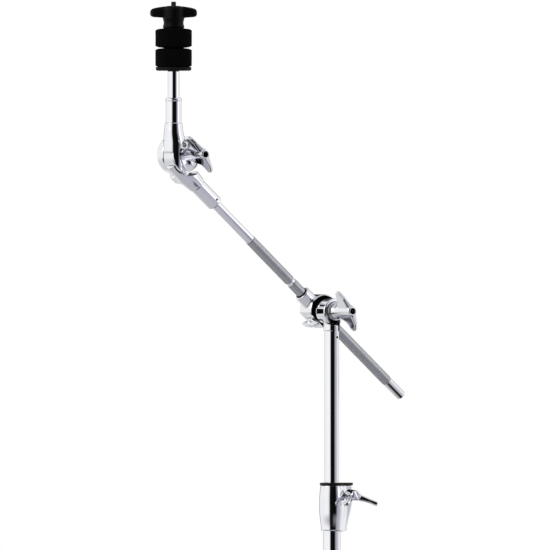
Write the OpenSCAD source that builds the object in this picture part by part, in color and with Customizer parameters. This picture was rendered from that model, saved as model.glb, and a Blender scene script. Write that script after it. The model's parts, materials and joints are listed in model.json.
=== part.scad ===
// Cymbal boom stand: tripod base, two telescoping height sections, boom arm on a
// tilting clamp, and a cymbal tilter with felts and wing nut.
// Origin on the floor at the column axis, +Z up, boom reaching toward -X, pivots along Y.

/* [Column] */
// Height of the boom pivot above the floor
pivot_h = 795.6; // [700:0.1:1000]
// Upper tube outside diameter
upper_d = 15.9; // [14:0.1:18]
// Middle tube outside diameter
middle_d = 19.05; // [17:0.05:21]
// Base tube outside diameter
base_d = 22.2; // [20:0.1:25.4]
// Tube wall thickness
wall = 1.4; // [1:0.1:2]
// Top face of the height clamp collar
clamp_top = 607; // [560:0.5:700]
// Top face of the base clamp collar
base_clamp_top = 507; // [450:0.5:550]

/* [Boom] */
// Boom elevation above the horizon, degrees
boom_el = 40.2; // [0:0.1:80]
// Boom rod diameter at the knurling
boom_d = 11.8; // [9:0.1:14]
// Sideways offset of the boom from the column
boom_y = 24; // [18:0.5:32]
// Distance from the clamp pivot to the ferrule
boom_reach = 182.8; // [120:0.1:300]
// Length of boom beyond the clamp pivot
boom_tail = 145; // [60:1:200]

/* [Cymbal post] */
// Cymbal post diameter
post_d = 12.7; // [10:0.1:14]
// Felt washer diameter
felt_d = 40; // [30:0.5:50]
// Felt washer thickness
felt_t = 21.6; // [8:0.1:25]
// Wing nut span
nut_span = 51.5; // [35:0.5:60]
// Threaded rod diameter
thread_d = 5.8; // [5:0.1:8]

/* [Tripod] */
// Leg angle from the vertical, degrees
leg_angle = 52; // [30:1:65]
// Foot distance from the column axis
foot_r = 290; // [200:5:400]
// Distance from the leg pivot to the brace pivot
brace_l = 130; // [80:1:180]

/* [Part shown] */
// One node, or all of them

/* [Hidden] */
$fn = 64;
tilt = boom_el - 90;              // local +Z runs up the boom
arm = boom_reach + 65.7;          // clamp pivot to tilter pivot, along the boom
off = 15;                         // tilter pivot offset from both rod axes
px = -arm * cos(boom_el) + off * sin(boom_el);
pz = pivot_h + arm * sin(boom_el) + off * cos(boom_el);
post_x = px - off;
y0 = boom_y;
z_fer = pz + 34.5;
z_seat = z_fer + 57.4;            // underside of the rubber seat washer
z_f1 = z_seat + 3.3;
z_f2 = z_f1 + felt_t;
z_nut = z_f2 + felt_t;
pivot_r = 26;                     // leg and brace pivots from the column axis
leg_l = (foot_r - pivot_r) / sin(leg_angle);
foot_z = 14;
hub_z = foot_z + leg_l * cos(leg_angle);
brace_z = hub_z - 2 * brace_l * cos(leg_angle);
steel = [0.80, 0.81, 0.83]; chrome = [0.86, 0.87, 0.89]; black = [0.05, 0.05, 0.055];
nylon = [0.07, 0.07, 0.08]; rubber = [0.09, 0.09, 0.09]; feltc = [0.06, 0.06, 0.065];

module cyl(r, z1, z2, r2 = undef) {
  translate([0, 0, z1]) cylinder(r1 = r, r2 = r2 == undef ? r : r2, h = z2 - z1);
}
module ring(ro, ri, z1, z2) { difference() { cyl(ro, z1, z2); cyl(ri, z1 - 1, z2 + 1); } }
module tube(d, z1, z2) { ring(d / 2, d / 2 - wall, z1, z2); }
// Places a part whose local +Z is the outward direction of a front-facing (-Y) axis
module front(x, y, z) { translate([x, y, z]) rotate([90, 0, 0]) children(); }
module at_boom() { translate([0, y0, pivot_h]) rotate([0, tilt, 0]) children(); }
module at_post() { translate([post_x, y0, 0]) children(); }

// Flat lever between two rounded ends, drawn in a plane and extruded
module bar2(a, ra, b, rb) { hull() { translate(a) circle(r = ra); translate(b) circle(r = rb); } }

// Wing bolt: +Z outward, z = 0 at its seat, shank running to -Z
module wing_bolt(shank_r, shank_l, hub_l, reach, droop, lift, hole) {
  cyl(shank_r, -shank_l, 1);
  difference() {
    union() {
      cyl(6.6, 0, 2.2);
      cyl(6.2, 2, hub_l - 3, 5.6);
      cyl(5.6, hub_l - 3.2, hub_l, 5.0);
    }
    if (hole) cyl(3.4, hub_l - 5, hub_l + 1);
  }
  for (s = [0, 1]) rotate([0, 0, droop[s]]) rotate([90, 0, 0])
    translate([0, 0, -2.1]) linear_extrude(4.2)
      polygon([[3.9, 3.4], [reach * 0.55, lift - 1.5], [reach - 3, lift], [reach - 0.8, lift + 1],
               [reach, lift + 3.2], [reach - 0.9, lift + 6.4], [reach - 3, lift + 7.6],
               [reach * 0.66, max(lift + 4.4, hub_l - 4.5)], [3.9, hub_l - 1.2]]);
}
module captive(ro, ri, h) { ring(ro, ri, -h, 0); }

// ---- Cymbal post ----
module wing_nut() color(black) at_post() difference() {
  union() {
    cyl(11.7, z_nut, z_nut + 1.4);
    cyl(11.7, z_nut + 1.4, z_nut + 5, 10.6);
    cyl(10.6, z_nut + 5, z_nut + 9, 11.4);
    cyl(11.4, z_nut + 9, z_nut + 22);
    cyl(11.4, z_nut + 22, z_nut + 24.9, 8);
    rotate([0, 0, -35]) rotate([90, 0, 0]) translate([0, 0, -5.2]) linear_extrude(10.4)
      polygon([[-nut_span / 2 + 2.5, z_nut + 11.6], [nut_span / 2 - 2.5, z_nut + 11.6],
               [nut_span / 2, z_nut + 14], [nut_span / 2, z_nut + 19.5], [nut_span / 2 - 2.6, z_nut + 22],
               [12, z_nut + 24.6], [-12, z_nut + 24.6],
               [-nut_span / 2 + 2.6, z_nut + 22], [-nut_span / 2, z_nut + 19.5], [-nut_span / 2, z_nut + 14]]);
  }
  cyl(5.05, z_nut - 1, z_nut + 26);
}
module wing_nut_insert() color(steel) at_post() ring(5, thread_d / 2 + 0.1, z_nut + 0.2, z_nut + 24.6);
module felt_at(z) {
  r = felt_d / 2;
  at_post() rotate_extrude() polygon([[4.2, z], [11, z], [15.5, z + 0.5], [r - 1.2, z + 1.3], [r, z + 2.6],
    [r, z + felt_t - 2.6], [r - 1.2, z + felt_t - 1.3], [15.5, z + felt_t - 0.5], [11, z + felt_t], [4.2, z + felt_t]]);
}
module upper_felt() color(feltc) felt_at(z_f2);
module lower_felt() color(feltc) felt_at(z_f1);
module cymbal_sleeve() color(nylon) at_post() ring(4.1, thread_d / 2 + 0.1, z_seat + 0.1, z_nut - 0.1);
module cymbal_seat() color(rubber) at_post() rotate_extrude()
  polygon([[4.2, z_seat], [18, z_seat], [felt_d / 2 - 0.5, z_seat + 1.2], [felt_d / 2 - 0.5, z_f1 - 0.6], [18.8, z_f1], [4.2, z_f1]]);
module threaded_rod() color(steel) at_post() {
  cyl(thread_d / 2, z_seat - 20, z_nut + 28.4);
  cyl(thread_d / 2, z_nut + 28.4, z_nut + 29.2, thread_d / 2 - 0.8);
}
module tilter_post() color(chrome) at_post() difference() {
  union() {
    cyl(post_d / 2, z_fer - 10, z_seat - 0.6);
    cyl(post_d / 2, z_seat - 0.6, z_seat, post_d / 2 - 0.6);
  }
  cyl(thread_d / 2 + 0.02, z_seat - 20.02, z_seat + 1);
}
module ferrule(z) {
  difference() {
    union() {
      cyl(8.5, z, z + 24.6);
      cyl(8.9, z + 24.6, z + 26.6);
      cyl(8.5, z + 26.6, z + 27.6, 7.6);
    }
    cyl(post_d / 2 + 0.02, z - 1, z + 29);
  }
}
module post_ferrule() color(chrome) at_post() ferrule(z_fer + 0.05);

// ---- Tilter ----
module tilter_upper_casting() color(chrome) difference() {
  union() {
    front(px, 34.4, pz) cyl(19.5, 0, 10.4);
    front(px, 24, pz) cyl(19.5, -0.01, 0.8, 18.7);
    at_post() cyl(10.7, z_fer - 13, z_fer, 9.6);
    // the neck runs on down the outer side of the pivot drum
    intersection() {
      at_post() cyl(10.7, pz - 22, z_fer - 12.9);
      union() {
        front(px, 40, pz) cyl(22.6, 0, 30);
        translate([px - 30, 0, pz + 1]) cube([60, 50, 40]);
      }
    }
  }
  front(px, 37.4, pz) cyl(45, 0, 3);
  front(px, 34.4, pz) cyl(4.3, -3, 20);
  front(px, 34.4, pz) cyl(16.3, 5, 25);
  at_post() cyl(post_d / 2 + 0.02, z_fer - 10.02, z_fer + 1);
}
module tilter_friction_disc() color(black) front(px, 35.8, pz) ring(19, 4.3, 0.05, 1.35);
module tilter_lower_casting() color(chrome) difference() {
  union() {
    front(px, 47, pz) cyl(21, 0, 11.2);
    front(px, 48.4, pz) cyl(18.5, 0, 1.5, 20.4);
    at_boom() cyl(9.6, arm - 34.5, arm - 21.5, 10.7);
    at_boom() cyl(10.7, arm - 21.6, arm + 7);
    at_boom() translate([-10.2, 0, arm - 21.5]) cube([20.4, 12.8, 12]);
    at_boom() translate([0, 12.8, 0]) cyl(10.2, arm - 21.5, arm - 9.5);
  }
  front(px, 35.8, pz) cyl(23.2, 0, 30);
  front(px, 49, pz) cyl(6.9, -2, 6.02);
  front(px, 47, pz) cyl(4.3, -3, 20);
  at_boom() cyl(post_d / 2 - 1, arm - 35, arm - 24.5);
}
module tilter_key_nut() color(steel) front(px - 0.6, 29.38, pz + 10.4) difference() {
  rotate([0, 0, 12]) translate([-4.3, -4.3, 0]) cube([8.6, 8.6, 4.6]);
  cyl(2.3, 1.6, 6);
}
module tilter_back_nut() color(steel) front(px, 49, pz) difference() {
  cylinder(r = 6.8, h = 5.98, $fn = 6);
  cyl(4.1, -1, 8);
}
module tilter_washer() color(steel) front(px, 24, pz) translate([0, 0, 2]) ring(5, 4.1, -7.35, 0);
module tilter_wing_bolt() color(chrome) front(px, 22, pz) {
  wing_bolt(3.98, 24, 38, 24.5, [128.5, 308.5], 23, true);
}

// ---- Boom ----
module rod_ferrule() color(chrome) at_boom() difference() {
  union() {
    cyl(7.4, boom_reach, boom_reach + 1.2, 8.5);
    cyl(8.5, boom_reach + 1.2, arm - 34.52);
  }
  cyl(5.27, boom_reach - 1, arm);
  translate([0, 0, boom_reach + 7]) rotate([90, 0, 0]) translate([0, 0, 6]) cylinder(r = 1.5, h = 5);
}
module boom_rod() color(steel) at_boom() {
  cyl(4.6, -boom_tail, -boom_tail + 1, 5.25);
  cyl(5.25, -boom_tail + 1, -boom_tail + 26);
  cyl(boom_d / 2, -boom_tail + 26, boom_reach - 133.8);
  cyl(5.0, boom_reach - 134, boom_reach - 130.6);
  cyl(boom_d / 2, boom_reach - 130.8, boom_reach - 61.2);
  cyl(5.25, boom_reach - 61.4, arm - 25);
}

// ---- Boom clamp ----
module boom_clamp_base() color(chrome) difference() {
  union() {
    front(0, 12, pivot_h) cyl(14, 0, 16);
    front(0, -4, pivot_h) cyl(14, -0.01, 2, 12.4);
    cyl(9.1, pivot_h - 22, pivot_h - 15);
    cyl(9.1, pivot_h - 15, pivot_h - 9, 7.8);
    translate([0, 3, 0]) cyl(7.6, pivot_h - 14, pivot_h);
  }
  front(0, 12, pivot_h) cyl(4.3, -2, 20);
  front(0, 12, pivot_h) cyl(10.5, 12, 24);
  cyl(upper_d / 2 + 0.02, pivot_h - 23, pivot_h - 15.5);
}
module clamp_friction_disc() color(black) front(0, 12, pivot_h) ring(13.2, 4.3, -1.2, -0.05);
module rod_holder() color(chrome) difference() {
  union() {
    front(0, 36, pivot_h) cyl(16.8, 0, 2, 18.6);
    front(0, 34, pivot_h) cyl(18.6, 0, 18);
    front(0, 16, pivot_h) cyl(18.6, 0, 2.7, 15.5);
    at_boom() cyl(9.6, -15, 31, 8.6);
    at_boom() rotate([0, -90, 0]) cyl(6.4, 0, 13.2);
  }
  at_boom() cyl(6.9, -40, 40);
  front(0, 44, pivot_h) cyl(4.3, -1, 12.5);
  front(0, 17.2, pivot_h) cyl(4.3, 0, 6);
  front(0, 37, pivot_h) cyl(6.9, 0, 4.9);
  at_boom() rotate([0, -90, 0]) cyl(3.1, 2, 30);
  // flat seat for the rod lock screw
  at_boom() translate([-33.2, -40, -40]) cube([20, 80, 80]);
}
module rod_sleeve() color(nylon) at_boom() difference() {
  ring(6.88, boom_d / 2 + 0.06, -15.6, 31.6);
  rotate([0, -90, 0]) cyl(3.1, 2, 30);
}
module clamp_front_ring() color(steel) front(0, 0, pivot_h) ring(10.4, 4.3, 0.02, 8.6);
module clamp_back_nut() color(steel) front(0, 37, pivot_h) difference() {
  cylinder(r = 6.8, h = 4.85, $fn = 6);
  cyl(3.0, 1.2, 8);
}
module clamp_washer() color(steel) front(0, -10.1, pivot_h) captive(8.4, 4.1, 1.45);
module clamp_wing_bolt() color(chrome) front(0, -10.1, pivot_h) {
  cyl(8.2, 0, 3, 7);
  wing_bolt(3.98, 26.7, 30, 24.5, [119, 299], 14, true);
}
module lock_washer() color(steel) at_boom() translate([0, 0, -0]) rotate([0, -90, 0]) ring(5.2, 2.75, 13.25, 14.2);
module rod_lock_screw() color(chrome) at_boom() rotate([0, -90, 0]) {
  cyl(2.65, boom_d / 2 + 0.15, 15);
  cyl(5, 14.25, 19.4, 4.2);
  for (s = [0, 180]) rotate([0, 0, 90 + s]) rotate([90, 0, 0]) translate([0, 0, -1.7]) linear_extrude(3.4)
    polygon([[2, 15.2], [8, 15.1], [13.4, 15.1], [14.6, 16.2], [14.6, 19.6], [13.2, 20.8], [8, 20.4], [2, 19]]);
}

// ---- Column ----
module upper_tube() color(chrome) difference() {
  tube(upper_d, 300, pivot_h - 15.6);
  translate([0, 0, pivot_h - 28.6]) rotate([0, 0, 14]) rotate([90, 0, 0]) translate([0, 0, 5]) cylinder(r = 1.55, h = 6);
}
module tube_rivet() color(black) translate([0, 0, pivot_h - 28.6]) rotate([0, 0, 14]) rotate([90, 0, 0])
  translate([0, 0, 5.6]) cylinder(r = 1.5, h = 1.9);
module upper_tube_plug() color(nylon) { cyl(8.05, 292, 300); cyl(upper_d / 2 - wall - 0.02, 299.9, 308); }

// Split clamp: round body about the tube with a bolt ear toward +X
module clamp_body(top, tube_r, body_r, ear, len) {
  difference() {
    union() {
      cyl(body_r - 1.2, top - 2.8 - len, top - 2.8 - len + 10, body_r);
      cyl(body_r, top - 2.8 - len + 10, top - 2.9);
      translate([0, 0, top - 2.9]) mirror([0, 0, 1]) linear_extrude(24)
        polygon([[0, -9.2], [ear - 5, -7.6], [ear, -3.5], [ear, 3.5], [ear - 5, 7.6], [0, 9.2]]);
      translate([0, -6.6, 0]) rotate([-90, 0, 0]) linear_extrude(13.2)
        polygon([[0, -(top - 26)], [ear, -(top - 26)], [ear - 7, -(top - 2.8 - len)], [0, -(top - 2.8 - len)]]);
    }
    cyl(tube_r + 0.02, top - len - 10, top + 1);
    translate([0, -0.9, top - 60]) cube([ear + 5, 1.8, 70]);
    translate([ear - 8, -20, top - 13.5]) rotate([-90, 0, 0]) cylinder(r = 3.2, h = 40);
  }
}
module clamp_collar(top, tube_r, out_r, inner_r, ear) {
  difference() {
    union() {
      cyl(out_r, top - 2.8, top - 0.6); cyl(out_r, top - 0.6, top, out_r - 0.8);
      translate([0, 0, top - 2.8]) linear_extrude(2.8)
        polygon([[0, -9.8], [ear - 5, -8.4], [ear + 0.8, -3.8], [ear + 0.8, 3.8], [ear - 5, 8.4], [0, 9.8]]);
    }
    cyl(inner_r, top - 20, top + 2);
  }
}
module clamp_bolt(top, ear) front(ear - 8, -9.6, top - 13.5) {
  wing_bolt(2.98, 22, 14, 24.5, [-26, 206], 18, false);
}
module clamp_washer_at(top, ear) front(ear - 8, -9.6, top - 13.5) captive(6.3, 3.1, 1.15);
module mid_clamp() color(chrome) clamp_body(clamp_top, middle_d / 2, 12.6, 25, 50);
module mid_clamp_collar() color(nylon) clamp_collar(clamp_top, middle_d / 2, 13.2, upper_d / 2 + 0.1, 25);
module mid_clamp_washer() color(steel) clamp_washer_at(clamp_top, 25);
module mid_clamp_wing_bolt() color(chrome) clamp_bolt(clamp_top, 25);
module mid_tube() color(chrome) tube(middle_d, 150, clamp_top - 2.85);
module mid_tube_plug() color(nylon) { ring(9.6, 5, 142, 150); ring(middle_d / 2 - wall - 0.02, 5, 149.9, 156); }
module base_clamp() color(chrome) clamp_body(base_clamp_top, base_d / 2, 14.4, 27, 50);
module base_clamp_collar() color(nylon) clamp_collar(base_clamp_top, base_d / 2, 15, middle_d / 2 + 0.1, 27);
module base_clamp_washer() color(steel) clamp_washer_at(base_clamp_top, 27);
module base_clamp_wing_bolt() color(chrome) clamp_bolt(base_clamp_top, 27);
module base_tube() color(chrome) tube(base_d, 38, base_clamp_top - 2.85);
module base_tube_cap() color(rubber) { cyl(base_d / 2, 34, 38); cyl(base_d / 2 - wall - 0.02, 37.9, 50); }

// ---- Tripod ----
module lug(z, half) for (a = [60, 180, 300]) rotate([0, 0, a]) translate([0, half, z]) rotate([90, 0, 0])
  linear_extrude(2 * half) difference() {
    union() { translate([12.5, -7]) square([pivot_r - 12.5, 14]); translate([pivot_r, 0]) circle(r = 7); }
    translate([pivot_r, 0]) circle(r = 2.6);
  }
module pin_set(z, half) for (a = [60, 180, 300]) rotate([0, 0, a]) translate([pivot_r, half, z]) rotate([90, 0, 0]) {
  cyl(2.5, 0, 2 * half); cyl(4, 2 * half, 2 * half + 1.5, 3); cyl(3, -1.5, 0, 4);
}
module leg_hub() color(chrome) difference() {
  union() {
    cyl(16, hub_z - 16, hub_z + 16);
    cyl(14.6, hub_z + 16, hub_z + 18, 13.6);
    lug(hub_z, 3.9);
    translate([12, 0, hub_z]) rotate([0, 90, 0]) cylinder(r = 7, h = 10);
  }
  cyl(base_d / 2 + 0.1, hub_z - 40, hub_z + 40);
  translate([11, 0, hub_z]) rotate([0, 90, 0]) cylinder(r = 3.1, h = 15);
}
module leg_hub_pins() color(steel) pin_set(hub_z, 6.3);
module hub_washer() color(steel) translate([22.1, 0, hub_z]) rotate([0, 90, 0]) ring(6.3, 3.1, 0, 1.3);
module hub_wing_bolt() color(chrome) translate([23.4, 0, hub_z]) rotate([0, 90, 0]) wing_bolt(2.98, 12, 14, 24, [0, 180], 9.5, false);
module brace_hub() color(chrome) difference() {
  union() { cyl(15, brace_z - 12, brace_z + 12); lug(brace_z, 6.7); }
  cyl(base_d / 2 + 0.02, brace_z - 40, brace_z + 40);
}
module brace_hub_pins() color(steel) pin_set(brace_z, 9.1);
module strip(a, b, w, y1, t, hole) for (s = [0, 1]) mirror([0, s, 0]) translate([0, y1 + t, 0]) rotate([90, 0, 0])
  linear_extrude(t) difference() {
    bar2(a, w / 2, b, w / 2);
    translate(a) circle(r = 2.6);
    translate(b) circle(r = hole);
  }
module leg(a) color(chrome) rotate([0, 0, a]) {
  strip([pivot_r, hub_z], [foot_r - 14, foot_z + 14 * cos(leg_angle) / sin(leg_angle)], 14, 4.05, 2, 2.6);
  mid = [pivot_r + brace_l * sin(leg_angle), 0, hub_z - brace_l * cos(leg_angle)];
  translate(mid) rotate([90, 0, 0]) translate([0, 0, -4.06]) cylinder(r = 4, h = 8.12);
}
module brace(a) color(chrome) rotate([0, 0, a]) {
  mid = [pivot_r + brace_l * sin(leg_angle), hub_z - brace_l * cos(leg_angle)];
  strip([pivot_r, brace_z], mid, 12, 6.85, 1.8, 1.0);
  for (s = [0, 1]) mirror([0, s, 0]) translate([mid[0], 6.85 + 1.79, mid[1]]) rotate([-90, 0, 0]) cylinder(r1 = 4, r2 = 3, h = 1.5);
}
// Rubber shoe over the leg end with a flat sole on the floor
module foot(a) color(rubber) rotate([0, 0, a]) difference() {
  translate([0, 10, 0]) rotate([90, 0, 0]) linear_extrude(20)
    polygon([[foot_r - 33, 26], [foot_r - 24, 35], [foot_r - 10, 29], [foot_r + 6, 15], [foot_r + 8, 3], [foot_r + 5, 0], [foot_r - 24, 0], [foot_r - 27, 3]]);
  for (s = [0, 1]) mirror([0, s, 0]) translate([0, 6.07, 0]) rotate([90, 0, 0]) linear_extrude(2.04)
    bar2([pivot_r, hub_z], 7.02, [foot_r - 14, foot_z + 14 * cos(leg_angle) / sin(leg_angle)], 7.02);
}
module leg_1() leg(180);
module leg_2() leg(60);
module leg_3() leg(300);
module brace_1() brace(180);
module brace_2() brace(60);
module brace_3() brace(300);
module foot_1() foot(180);
module foot_2() foot(60);
module foot_3() foot(300);

wing_nut();
wing_nut_insert();
upper_felt();
cymbal_sleeve();
lower_felt();
cymbal_seat();
threaded_rod();
tilter_post();
post_ferrule();
tilter_upper_casting();
tilter_friction_disc();
tilter_lower_casting();
tilter_key_nut();
tilter_back_nut();
tilter_washer();
tilter_wing_bolt();
rod_ferrule();
boom_rod();
boom_clamp_base();
clamp_friction_disc();
rod_holder();
rod_sleeve();
clamp_front_ring();
clamp_back_nut();
clamp_washer();
clamp_wing_bolt();
lock_washer();
rod_lock_screw();
upper_tube();
tube_rivet();
upper_tube_plug();
mid_clamp();
mid_clamp_collar();
mid_clamp_washer();
mid_clamp_wing_bolt();
mid_tube();
mid_tube_plug();
base_clamp();
base_clamp_collar();
base_clamp_washer();
base_clamp_wing_bolt();
base_tube();
base_tube_cap();
leg_hub();
leg_hub_pins();
hub_washer();
hub_wing_bolt();
brace_hub();
brace_hub_pins();
leg_1();
leg_2();
leg_3();
brace_1();
brace_2();
brace_3();
foot_1();
foot_2();
foot_3();
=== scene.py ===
"""Looks for the cymbal boom stand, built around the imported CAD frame."""
import json
import math
import random

import bmesh
import bpy
import numpy as np
from mathutils import Matrix, Vector


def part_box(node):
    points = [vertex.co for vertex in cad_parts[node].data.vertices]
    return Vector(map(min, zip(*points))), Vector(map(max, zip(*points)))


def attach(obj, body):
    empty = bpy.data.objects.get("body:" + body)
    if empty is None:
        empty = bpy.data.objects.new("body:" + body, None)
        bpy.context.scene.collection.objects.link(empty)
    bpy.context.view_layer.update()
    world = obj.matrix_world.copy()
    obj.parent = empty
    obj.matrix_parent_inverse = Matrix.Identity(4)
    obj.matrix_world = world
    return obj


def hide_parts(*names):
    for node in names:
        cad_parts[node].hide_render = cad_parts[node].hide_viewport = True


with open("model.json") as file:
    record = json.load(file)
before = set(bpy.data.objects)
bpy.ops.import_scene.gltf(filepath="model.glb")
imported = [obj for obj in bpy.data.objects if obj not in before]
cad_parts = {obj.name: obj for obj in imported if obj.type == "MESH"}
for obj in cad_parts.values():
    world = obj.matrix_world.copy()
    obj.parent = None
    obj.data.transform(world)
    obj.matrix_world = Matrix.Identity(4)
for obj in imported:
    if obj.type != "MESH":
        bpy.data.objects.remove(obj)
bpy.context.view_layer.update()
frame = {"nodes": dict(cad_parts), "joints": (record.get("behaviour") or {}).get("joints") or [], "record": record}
NODES = frame["nodes"]
BODY_OF = {n: b for b, ns in frame["record"]["behaviour"]["bodies"].items() for n in ns}
SLOT_OF = {s["node"]: s["material_slot"] for s in frame["record"]["subparts"]}
JOINTS = {j["name"]: j for j in frame["joints"]}
MM = 0.001
random.seed(7)

# ---------------------------------------------------------------- places
TILT = Vector(JOINTS["cymbal_tilt"]["pos_m"])          # tilter pivot
CLAMP = Vector(JOINTS["boom_tilt"]["pos_m"])           # boom pivot on the column
UP = Vector(JOINTS["boom_slide"]["axis"]).normalized()  # up along the boom
POST = Vector((JOINTS["wing_nut_post_turn"]["pos_m"][0], CLAMP.y, 0))


def axes_matrix(x, y, z, at):
    m = Matrix((x, y, z)).transposed().to_4x4()
    m.translation = at
    return m


M_WORLD = Matrix.Identity(4)
M_POST = Matrix.Translation(POST)
BOOM_X = Vector((UP.z, 0, -UP.x))
M_BOOM = axes_matrix(BOOM_X, Vector((0, 1, 0)), UP, CLAMP)


def m_front(x, y, z):
    """Local +Z points out to the front (-Y), local X stays along X."""
    return axes_matrix(Vector((1, 0, 0)), Vector((0, 0, 1)), Vector((0, -1, 0)), Vector((x, y, z)))


# ---------------------------------------------------------------- materials
def new_material(name):
    m = bpy.data.materials.new(name)
    m.use_nodes = True
    return m, m.node_tree, m.node_tree.nodes["Principled BSDF"]


def add(tree, kind, **inputs):
    n = tree.nodes.new(kind)
    for k, v in inputs.items():
        if k in n.inputs:
            n.inputs[k].default_value = v
        else:
            setattr(n, k, v)
    return n


def noise(tree, scale, detail=3.0, rough=0.55, stretch=None):
    co = tree.nodes.new("ShaderNodeTexCoord")
    src = co.outputs["Object"]
    if stretch:
        mp = tree.nodes.new("ShaderNodeMapping")
        mp.inputs["Scale"].default_value = stretch
        tree.links.new(src, mp.inputs["Vector"])
        src = mp.outputs["Vector"]
    n = add(tree, "ShaderNodeTexNoise", Scale=scale, Detail=detail, Roughness=rough)
    tree.links.new(src, n.inputs["Vector"])
    return n.outputs["Fac"]


def ramp(tree, fac, stops):
    r = tree.nodes.new("ShaderNodeValToRGB")
    r.color_ramp.elements[0].position, r.color_ramp.elements[0].color = stops[0][0], (*stops[0][1], 1)
    r.color_ramp.elements[1].position, r.color_ramp.elements[1].color = stops[-1][0], (*stops[-1][1], 1)
    for p, c in stops[1:-1]:
        e = r.color_ramp.elements.new(p)
        e.color = (*c, 1)
    tree.links.new(fac, r.inputs["Fac"])
    return r.outputs["Color"]


def spread(tree, fac, low, high):
    r = add(tree, "ShaderNodeMapRange")
    r.inputs["To Min"].default_value, r.inputs["To Max"].default_value = low, high
    tree.links.new(fac, r.inputs["Value"])
    return r.outputs["Result"]


def bump(tree, bsdf, fac, strength, distance):
    b = add(tree, "ShaderNodeBump", Strength=strength, Distance=distance)
    tree.links.new(fac, b.inputs["Height"])
    tree.links.new(b.outputs["Normal"], bsdf.inputs["Normal"])
    return b


def metal(name, tone, low, high, wave=0.0, cast=0.0, brush=None):
    m, t, p = new_material(name)
    p.inputs["Metallic"].default_value = 1.0
    t.links.new(ramp(t, noise(t, 90, 4), [(0.3, [c * 0.965 for c in tone]), (0.7, tone)]), p.inputs["Base Color"])
    t.links.new(spread(t, noise(t, 260, 5, 0.65, brush), low, high), p.inputs["Roughness"])
    if wave or cast:
        bump(t, p, noise(t, 1800 if cast else 120, 3, 0.5, brush), cast or wave, 0.0002)
    return m


def soft(name, dark, light, rough, scale, strength, distance=0.0004, gloss=0.5):
    m, t, p = new_material(name)
    t.links.new(ramp(t, noise(t, scale, 6, 0.7), [(0.3, dark), (0.7, light)]), p.inputs["Base Color"])
    t.links.new(spread(t, noise(t, scale * 0.6, 4), rough - 0.07, rough + 0.07), p.inputs["Roughness"])
    p.inputs["Specular IOR Level"].default_value = gloss
    bump(t, p, noise(t, scale * 1.7, 5, 0.7), strength, distance)
    return m


CHROME = metal("chrome_plate", (0.83, 0.835, 0.86), 0.035, 0.07)
CAST = metal("chrome_casting", (0.81, 0.815, 0.845), 0.05, 0.10, wave=0.06)
STEEL = metal("plain_steel", (0.60, 0.61, 0.63), 0.20, 0.32, cast=0.05)
OXIDE = metal("black_oxide_steel", (0.05, 0.05, 0.055), 0.34, 0.46, cast=0.04)
ZINC = metal("bright_zinc", (0.86, 0.855, 0.84), 0.30, 0.42, cast=0.04)
KNURL = metal("knurled_steel", (0.50, 0.505, 0.52), 0.26, 0.38, cast=0.05)
FELT = soft("black_felt", (0.0006, 0.0006, 0.0007), (0.0032, 0.0032, 0.0035), 0.95, 900, 0.55, 0.0006, gloss=0.05)
PLASTIC = soft("moulded_black", (0.0012, 0.0012, 0.0013), (0.0022, 0.0022, 0.0024), 0.46, 1500, 0.10, 0.0001, gloss=0.10)
NYLON = soft("black_nylon", (0.0030, 0.0030, 0.0033), (0.0050, 0.0050, 0.0055), 0.40, 1200, 0.10, 0.0001, gloss=0.20)
# Near-black painted shade, put on holes, slots, pits and recess faces where there is only shade
RECESS_SHADE = soft("painted_recess_shade", (0.0010, 0.0010, 0.0010), (0.0020, 0.0020, 0.0020), 0.85, 900, 0.05, 0.0001, gloss=0.05)
RUBBER = soft("black_rubber", (0.0030, 0.0030, 0.0030), (0.0065, 0.0065, 0.0062), 0.74, 1100, 0.22, 0.0002, gloss=0.15)
BY_SLOT = {"chrome": CHROME, "steel": STEEL, "black_plastic": PLASTIC, "nylon": NYLON, "rubber": RUBBER, "felt": FELT}


# ---------------------------------------------------------------- mesh tools
def smooth_by_angle(mesh, angle=32):
    bm = bmesh.new()
    bm.from_mesh(mesh)
    for f in bm.faces:
        f.smooth = True
    lim = math.radians(angle)
    for e in bm.edges:
        e.smooth = not (len(e.link_faces) == 2 and e.calc_face_angle(0) > lim)
    bm.to_mesh(mesh)
    bm.free()


def piece(name, mesh, node, material=None, others=()):
    o = bpy.data.objects.new(name, mesh)
    bpy.context.scene.collection.objects.link(o)
    mesh.materials.clear()
    mesh.materials.append(material or BY_SLOT[SLOT_OF[node]])
    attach(o, BODY_OF[node])
    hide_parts(node, *others)
    return o


def fillet(points, closed, steps=4):
    """Profile points (r, z, radius) in mm, each corner rounded to its radius."""
    out, n = [], len(points)
    for i, (r, z, rad) in enumerate(points):
        p = Vector((r, z))
        if rad <= 0 or (not closed and i in (0, n - 1)):
            out.append(p)
            continue
        a, b = Vector(points[i - 1][:2]), Vector(points[(i + 1) % n][:2])
        u, v = (a - p), (b - p)
        half = u.angle(v) / 2
        cut = min(rad / math.tan(half), u.length * 0.49, v.length * 0.49)
        s, e = p + u.normalized() * cut, p + v.normalized() * cut
        for k in range(steps + 1):
            t = k / steps
            out.append(s * (1 - t) ** 2 + p * 2 * t * (1 - t) + e * t * t)
    return out


def supported(pts, closed, near=0.15):
    """Adds points close to both ends of every long run, so that the shading stays flat along it."""
    out = []
    for a, b in zip(pts, pts[1:] + ([pts[0]] if closed else [])):
        out.append(a)
        d = b - a
        if d.length > 1.2:
            out.extend((a + d.normalized() * near, b - d.normalized() * near))
    return out if closed else out + [pts[-1]]


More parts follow.
